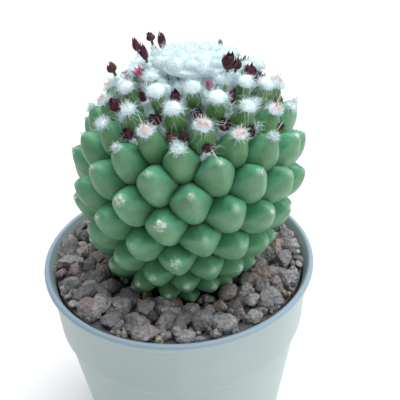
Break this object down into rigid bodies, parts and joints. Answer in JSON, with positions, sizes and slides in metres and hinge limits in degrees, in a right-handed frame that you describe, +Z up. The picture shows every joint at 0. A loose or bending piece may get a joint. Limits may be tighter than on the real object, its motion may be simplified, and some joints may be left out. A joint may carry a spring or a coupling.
{
  "type": "potted cactus",
  "caption": "Mammillaria polythele with a woolly crown and dried maroon flowers, in a small grey-blue plastic pot topped with pumice gravel.",
  "frame": {"origin": "middle of the pot's foot, on the surface it stands on", "axes": "+Z up along the pot's axis; the plant leans a little towards +X; the picture was taken from -Y and above"},
  "size_m": [0.07, 0.07, 0.1159],
  "materials": {
    "pot": "satin",
    "soil": "matte",
    "gravel": "matte",
    "stem": "satin",
    "wool": "matte",
    "dried": "matte",
    "bud": "matte",
    "fresh": "satin"
  },
  "bodies": {
    "root": {"pot": "pot", "soil": "soil", "gravel": "gravel", "stem": "stem", "crown_wool": "wool", "bloom_bud_01": "bud", "bloom_dried_02": "dried", "bloom_dried_03": "dried", "bloom_bud_04": "bud", "bloom_dried_05": "dried", "bloom_dried_06": "dried", "bloom_fresh_07": "fresh", "bloom_dried_08": "dried", "bloom_bud_09": "bud", "bloom_dried_10": "dried", "bloom_dried_11": "dried", "bloom_fresh_12": "fresh", "bloom_dried_13": "dried", "bloom_bud_14": "bud", "bloom_bud_15": "bud", "bloom_dried_16": "dried", "bloom_dried_17": "dried", "bloom_dried_18": "dried", "bloom_dried_19": "dried", "bloom_bud_20": "bud", "bloom_bud_21": "bud", "bloom_dried_22": "dried", "bloom_dried_23": "dried", "bloom_bud_24": "bud", "bloom_dried_25": "dried", "bloom_bud_26": "bud", "bloom_dried_27": "dried", "bloom_dried_28": "dried", "bloom_bud_29": "bud", "bloom_dried_30": "dried", "bloom_dried_31": "dried", "bloom_bud_32": "bud", "bloom_dried_33": "dried", "bloom_dried_34": "dried", "bloom_bud_35": "bud"}
  },
  "joints": []
}
